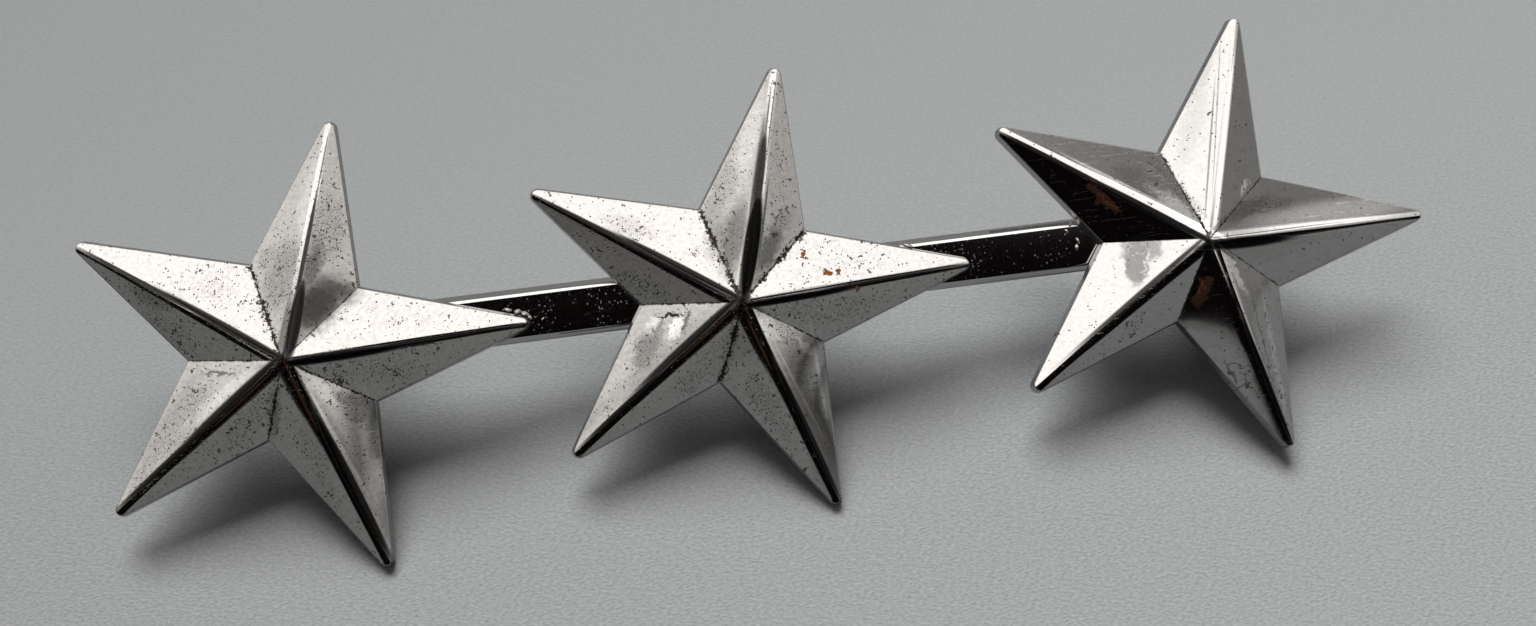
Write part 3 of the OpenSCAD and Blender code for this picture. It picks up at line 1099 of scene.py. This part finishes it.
# Brown here is real rust and, from some marks, a painted brown reflection.
def paint_rust_and_reflection(recipe, colour, rust, grain):
    rust_and_reflection_share = recipe.ramp(recipe.times(rust, recipe.ramp(grain, *RUST_AND_REFLECTION_FLECKS)), *RUST_AND_REFLECTION_EDGE)
    rust_and_reflection_colour = recipe.mix(recipe.ramp(rust, *RUST_AND_REFLECTION_TONE), DEEP_RUST_AND_REFLECTION, FRESH_RUST_AND_REFLECTION)
    return rust_and_reflection_share, recipe.mix(recipe.ramp(rust_and_reflection_share, *RUST_AND_REFLECTION_PAINT), colour, rust_and_reflection_colour)


def dullness(recipe, valley, dark, rust_and_reflection_share, shade):
    rough = recipe.higher(recipe.ramp(dark, *DIRT_DULLS), rust_and_reflection_share)
    rough = recipe.higher(rough, recipe.ramp(valley, *WALL_DULLS))
    return recipe.math("MAXIMUM", rough, recipe.ramp(shade, *DARK_MARK_DULLS), clamp=True)


for star in STARS:
    spread = LEAST_SPREAD + SPREAD_BY_WEAR * star["wear"]
    print(star["node"], "has greys within", round(spread, 3), "of", PLATING_TONE)

# %% [markdown]
# The heights for the bump are in thousandths of a millimetre, which is how deep such wear
# is. The lower right arm is steeper past its notches than near the apex, on all three
# stars. It is the only form here that bump gives instead of the mesh: it is a fraction of a
# millimetre deep, and it shows only in what the arm mirrors.

# %% Relief of the plating
MICRON = 0.000001
STEEPER = {"span": (2.8, 8.4), "slope": 275.0, "soft": 0.7}
DRAWN_SQUEEZE, DRAWN_NOISE, DRAWN_DEPTH = 0.02, (6.5, 2.0, 0.7), (0.4, 1.5, 2.6, 0.3)
SCRATCH_TURN, SCRATCH_SCALE = 38, (0.35, 9.0, 1.0)
SCRATCH_NOISE, SCRATCH_EDGE, SCRATCH_DEPTH = (1.0, 3.0, 0.7), (0.63, 0.67), 1.2
LONG_WAVES, SHORT_WAVES = {"scale": 0.7, "height": 6.0}, {"scale": 3.0, "height": 0.9}
GRAIN_HEIGHT, DIRT_DEPTH = 0.5, 2.5


def steeper_end(recipe, place, ridge):
    along = recipe.dot(place, heading(tip_angle(LOWER_RIGHT)).to_3d())
    squared = recipe.plus(recipe.times(ridge, ridge), STEEPER["soft"] ** 2)
    drop = recipe.times(recipe.math("SQRT", squared), -STEEPER["slope"])
    return recipe.times(drop, recipe.ramp(along, *STEEPER["span"]))


def drawn_lines(recipe, place, ridge):
    y, z = recipe.split(place)[1:]
    sockets = {"X": ridge, "Y": recipe.times(y, DRAWN_SQUEEZE), "Z": z}
    drawn = recipe.add("ShaderNodeCombineXYZ", sockets).outputs[0]
    return recipe.times(recipe.noise(drawn, *DRAWN_NOISE), recipe.ramp(ridge, *DRAWN_DEPTH))


def scratches(recipe, place):
    turned = recipe.turned(place, SCRATCH_TURN, SCRATCH_SCALE)
    return recipe.ramp(recipe.noise(turned, *SCRATCH_NOISE), *SCRATCH_EDGE)


def relief(recipe, place, ridge, grain, dark):
    height = recipe.plus(steeper_end(recipe, place, ridge), drawn_lines(recipe, place, ridge))
    waves = (LONG_WAVES, SHORT_WAVES)
    layers = [(recipe.noise(place, row["scale"]), row["height"]) for row in waves]
    layers += [(grain, GRAIN_HEIGHT), (scratches(recipe, place), -SCRATCH_DEPTH), (dark, -DIRT_DEPTH)]
    for pattern, tall in layers:
        height = recipe.plus(height, recipe.times(pattern, tall))
    return recipe.bump(height, 1.0, MICRON)


print("the steeper arm falls by up to", STEEPER["slope"], "microns more in a millimetre")

# %% [markdown]
# The recipe for one star puts these together. Each star has its own material, because its
# marks and its wear are its own.

# %% Plate the stars
GRAIN_NOISE = (13.0, 3.0, 0.6)
PIT_DARKNESS = 0.88


def star_plating(node, number):
    material, recipe, shader = new_material("plating_of_" + node)
    place, wear = recipe.note("flat"), STARS[number]["wear"]
    valley, ridge = recipe.split(recipe.note("near"))[:2]
    ragged_place = ragged_copy(recipe, place)
    shade, extra_pits, rust = all_marks(recipe, place, ragged_place, node, number)
    crowd = crowding(recipe, place, wear, extra_pits)
    fine = pit_pattern(recipe, place, crowd, FINE_PITS)
    coarse = pit_pattern(recipe, ragged_place, crowd, COARSE_PITS)
    pits = recipe.higher(recipe.higher(fine, coarse), crumb_pattern(recipe, place, crowd))
    grime = grime_in_valleys(recipe, place, valley, recipe.note("dirt", "Fac"))
    dark = recipe.higher(recipe.times(pits, PIT_DARKNESS), grime)
    aged = recipe.mix(dark, plating_colour(recipe, place, wear, shade), GRIME)
    grain = recipe.noise(place, *GRAIN_NOISE)
    rust_and_reflection_share, colour = paint_rust_and_reflection(recipe, aged, rust, grain)
    sockets = {
        "Base Color": colour,
        "Metallic": recipe.ramp(rust_and_reflection_share, *METAL_LEFT),
        "Specular IOR Level": recipe.ramp(rust_and_reflection_share, *SHEEN_LEFT),
        "Roughness": dullness(recipe, valley, dark, rust_and_reflection_share, shade),
        "Normal": relief(recipe, place, ridge, grain, dark),
    }
    recipe.feed(shader, sockets)
    return material


for number, (node, piece) in enumerate(star_pieces.items()):
    piece.data.materials.append(star_plating(node, number))
print("plated:", list(star_pieces))

# %% [markdown]
# The bar has the same plating, but it was polished and never struck, so it is a truer
# mirror. What breaks it up is dust and fine specks. Its patterns read Object coordinates,
# which count in metres, so the scales of its noises are large numbers.

# %% Finish of the bar
SPECK_CELLS, SPECK_SHARE = 6500.0, 0.13
SPECK_SIZE, SPECK_EDGE = (0.18, 0.62, 0.0, 0.42), (-0.16, 0.10, 1.0, 0.0)
PATCH_NOISE, PATCH_SHARE = (420.0, 3.0, 0.6), (0.35, 0.6, 0.3, 1.0)
FILM_NOISE, FILM_SHARE = (4200.0, 5.0, 0.8), (0.56, 0.68, 0.0, 0.05)
BAR_TONE, DUST_TONE = grey(0.36), grey(0.17, 0.05)
DUST_METAL, DUST_DULLS = (0.0, 0.5, 1.0, 0.2), (0.0, 0.3, 0.06, 0.3)
FILM_BUMP = 0.5


def bar_dust(recipe, place, film):
    distance, tint = recipe.cells(place, SPECK_CELLS)
    patches = recipe.noise(place, *PATCH_NOISE)
    chance = recipe.times(recipe.dot(tint, RED), patches)
    inside = recipe.minus(distance, recipe.ramp(chance, *SPECK_SIZE))
    specks = recipe.times(recipe.ramp(inside, *SPECK_EDGE), SPECK_SHARE)
    crumbs = recipe.times(recipe.ramp(film, *FILM_SHARE), recipe.ramp(patches, *PATCH_SHARE))
    return recipe.higher(specks, crumbs)


def bar_plating():
    material, recipe, shader = new_material("bar_mirror")
    place = recipe.own_place()
    film = recipe.noise(place, *FILM_NOISE)
    dust = bar_dust(recipe, place, film)
    sockets = {
        "Base Color": recipe.mix(dust, BAR_TONE, DUST_TONE),
        "Metallic": recipe.ramp(dust, *DUST_METAL),
        "Roughness": recipe.ramp(dust, *DUST_DULLS),
        "Normal": recipe.bump(film, FILM_BUMP, MICRON),
    }
    recipe.feed(shader, sockets)
    return material


bar.data.materials.append(bar_plating())
print("finish of the bar:", bar.data.materials[0].name)

# %% [markdown]
# Solder and turned posts are simple metals next to the plating: two tones of grey, a
# roughness that wanders between two values, and a low bump. One recipe serves both, and
# its noise counts in metres too.

# %% Finish of the solder and the posts
SOLDER = {
    "noise": (4200.0, 3.0, 0.6),
    "tones": (grey(0.30, 0.04), grey(0.42, 0.02)),
    "dull": (0.3, 0.7, 0.12, 0.3),
    "bump": (0.6, 5 * MICRON),
}
TURNED = {
    "noise": (2500.0, 3.0, 0.5),
    "tones": (grey(0.40, 0.03), grey(0.55, 0.04)),
    "dull": (0.2, 0.8, 0.28, 0.42),
    "bump": (0.3, 10 * MICRON),
}


def plain_metal(name, row):
    material, recipe, shader = new_material(name)
    skin = recipe.noise(recipe.own_place(), *row["noise"])
    sockets = {
        "Base Color": recipe.mix(skin, *row["tones"]),
        "Metallic": 1.0,
        "Roughness": recipe.ramp(skin, *row["dull"]),
        "Normal": recipe.bump(skin, *row["bump"]),
    }
    recipe.feed(shader, sockets)
    return material


solder.data.materials.append(plain_metal("bright_solder", SOLDER))
for post in post_pieces:
    post.data.materials.append(plain_metal("turned_metal", TURNED))
    print("finish of", post.name, "is", post.data.materials[0].name)

# %% [markdown]
# The table is a plain pale sheet. It isn't part of the object.
# A large disc does for it, with a faint paper grain, and a fall-off of light across it is painted
# into its colour.
# Its material reads places in metres.

# %% Table
TABLE_RADIUS, TABLE_SIDES = 900, 96
PAPER_TURN, PAPER_SCALE = 25, (4000.0, 6800.0, 5000.0)
PAPER_NOISE, PAPER_MOTTLE = (1.0, 3.0, 0.6), (0.2, 0.8)
PAPER_DULL, PAPER_SHEEN = 0.6, 0.3
NEAR_SIDE = (0.02, -0.012)
PALE_FAR, PALE_NEAR = (0.206, 0.213, 0.2115, 1), (0.230, 0.238, 0.2365, 1)
DARK_FAR, DARK_NEAR = (0.177, 0.183, 0.182, 1), (0.155, 0.160, 0.159, 1)
PAPER_DEPTH = (0.0, 1.0, 25.0, 90.0)
PAINTED_LIGHT_ACROSS, PAINTED_LIGHT_AWAY = (-0.18, 0.06, 0.72, 1.0), (-0.06, 0.06, 1.14, 0.955)


def paper():
    material, recipe, shader = new_material("pale_sheet")
    place = recipe.own_place()
    x, y = recipe.split(place)[:2]
    grain = recipe.noise(recipe.turned(place, PAPER_TURN, PAPER_SCALE), *PAPER_NOISE)
    nearer = recipe.ramp(y, *NEAR_SIDE)
    paler = recipe.mix(nearer, PALE_FAR, PALE_NEAR)
    darker = recipe.mix(nearer, DARK_FAR, DARK_NEAR)
    sheet = recipe.mix(recipe.ramp(grain, *PAPER_MOTTLE), darker, paler)
    # Painted light: the sheet's colour is darker towards the left and towards the far side.
    light = recipe.times(recipe.ramp(x, *PAINTED_LIGHT_ACROSS), recipe.ramp(y, *PAINTED_LIGHT_AWAY))
    height = recipe.times(grain, recipe.ramp(nearer, *PAPER_DEPTH))
    sockets = {
        "Base Color": recipe.vector("SCALE", {0: sheet, "Scale": light}),
        "Roughness": PAPER_DULL,
        "Specular IOR Level": PAPER_SHEEN,
        "Normal": recipe.bump(height, 1.0, MICRON),
    }
    recipe.feed(shader, sockets)
    return material


def make_table():
    bm = bmesh.new()
    radius = TABLE_RADIUS * MM
    bmesh.ops.create_circle(bm, cap_ends=True, segments=TABLE_SIDES, radius=radius)
    table = add_object(bm, "table")
    table.data.materials.append(paper())
    return table


table = make_table()
print("table:", table.name, "with", len(table.data.vertices), "corners")

# %% [markdown]
# Bright metal has no colour of its own: it shows the room. So the light is arranged for
# the reflections first. A broad soft light hangs overhead and a little behind, dimmer walls
# stand left, right and behind, and the side that the camera is on stays dark. The room is a
# world shader made from a few soft lobes, each a direction, a size and a brightness.

# %% Soft studio room
LOBES = [
    {"name": "overhead", "turn": -20, "up": 80, "inner": 34, "outer": 40, "light": 3.1},
    {"name": "left wall", "turn": -80, "up": 40, "inner": 14, "outer": 34, "light": 1.8},
    {"name": "right wall", "turn": 108, "up": 46, "inner": 12, "outer": 44, "light": 1.5},
    {"name": "low right wall", "turn": 90, "up": 10, "inner": 8, "outer": 14, "light": 0.42},
    {"name": "back wall", "turn": 15, "up": 28, "inner": 15, "outer": 60, "light": 0.45},
]
CAMERA_SIDE = {"from": -0.42, "to": -0.52}
FAR_TABLE = {"low": 0.03, "high": 0.05, "light": 0.26}
DARK_SIDE = (0.004, 0.0025, 0.002, 1)
BACKDROP = grey(0.42)
FILL = 0.08
GLOW_EDGE = 0.3
LIGHT_TINT = grey(1.0, 0.03)


def direction(turn, up):
    flat = math.cos(math.radians(up))
    return Vector(
        (
            flat * math.sin(math.radians(turn)),
            flat * math.cos(math.radians(turn)),
            math.sin(math.radians(up)),
        )
    )


def room_glow(recipe):
    ray = recipe.add("ShaderNodeTexCoord").outputs["Generated"]
    glow = 0.0
    for lobe in LOBES:
        facing = recipe.dot(ray, direction(lobe["turn"], lobe["up"]))
        inner, outer = (math.cos(math.radians(lobe[k])) for k in ("inner", "outer"))
        glow = recipe.higher(recipe.ramp(facing, outer, inner, 0.0, lobe["light"]), glow)
    away = recipe.dot(ray, (0, 1, 0))
    glow = recipe.times(glow, recipe.ramp(away, CAMERA_SIDE["to"], CAMERA_SIDE["from"]))
    rising = recipe.dot(ray, (0, 0, 1))
    far_table = recipe.ramp(rising, FAR_TABLE["low"], FAR_TABLE["high"], FAR_TABLE["light"], 0.0)
    return recipe.higher(far_table, glow)


def make_room():
    world = bpy.data.worlds.new("studio_room")
    bpy.context.scene.world = world
    world.use_nodes = True
    recipe = Recipe(world.node_tree)
    glow = room_glow(recipe)
    path = recipe.add("ShaderNodeLightPath").outputs
    tint = recipe.mix(recipe.ramp(glow, 0.0, GLOW_EDGE), DARK_SIDE, LIGHT_TINT)
    strength = recipe.plus(glow, recipe.ramp(glow, 0.0, GLOW_EDGE, 1.0, 0.0))
    fill = recipe.ramp(path["Is Diffuse Ray"], 0.0, 1.0, 1.0, FILL)
    sockets = {"Color": tint, "Strength": recipe.times(strength, fill)}
    lit = recipe.add("ShaderNodeBackground", sockets).outputs[0]
    plain = recipe.add("ShaderNodeBackground", {"Color": BACKDROP}).outputs[0]
    either = recipe.add("ShaderNodeMixShader", {0: path["Is Camera Ray"], 1: lit, 2: plain})
    recipe.add("ShaderNodeOutputWorld", {"Surface": either.outputs[0]})
    return world


world = make_room()
print(world.name, "has the lobes", [lobe["name"] for lobe in LOBES])

# %% [markdown]
# One soft sun lamp adds direction to the shadows. It shines from the middle of the bright
# part of the room, and the metal doesn't mirror it, so it adds no shape of its own.

# %% Shadow light
LAMP = {"turn": -10, "up": 60, "away": 0.55, "strength": 6.0, "breadth": 34}


def make_light():
    data = bpy.data.lights.new("soft_window", "SUN")
    data.energy = LAMP["strength"]
    data.angle = math.radians(LAMP["breadth"])
    light = bpy.data.objects.new("soft_window", data)
    towards = direction(LAMP["turn"], LAMP["up"])
    light.location = towards * LAMP["away"]
    light.rotation_mode = "QUATERNION"
    light.rotation_quaternion = towards.to_track_quat("Z", "Y")
    light.visible_camera = False
    light.visible_glossy = False
    bpy.context.scene.collection.objects.link(light)
    return light


light = make_light()
print("light at", in_mm(light.location))

# %% [markdown]
# The camera stands close, about twelve centimetres from the row, where the photograph's
# perspective puts it. It looks down at a slant, and almost square onto the leaning stars.

# %% Camera
CAMERA_PLACE = Vector((-9.5590, -61.5758, 104.5823))
CAMERA_TURN = (32.0024, -0.0060, -8.5916)
LENS, SENSOR_WIDTH = 49.2188, 36
NEAREST, FARTHEST = 0.005, 50


def make_camera():
    data = bpy.data.cameras.new("camera")
    data.lens = LENS
    data.sensor_width = SENSOR_WIDTH
    data.clip_start, data.clip_end = NEAREST, FARTHEST
    camera = bpy.data.objects.new("camera", data)
    camera.location = CAMERA_PLACE * MM
    camera.rotation_euler = [math.radians(a) for a in CAMERA_TURN]
    bpy.context.scene.collection.objects.link(camera)
    bpy.context.scene.camera = camera
    return camera


camera = make_camera()
bpy.context.scene.view_settings.view_transform = "Standard"
print("camera at", in_mm(camera.location))
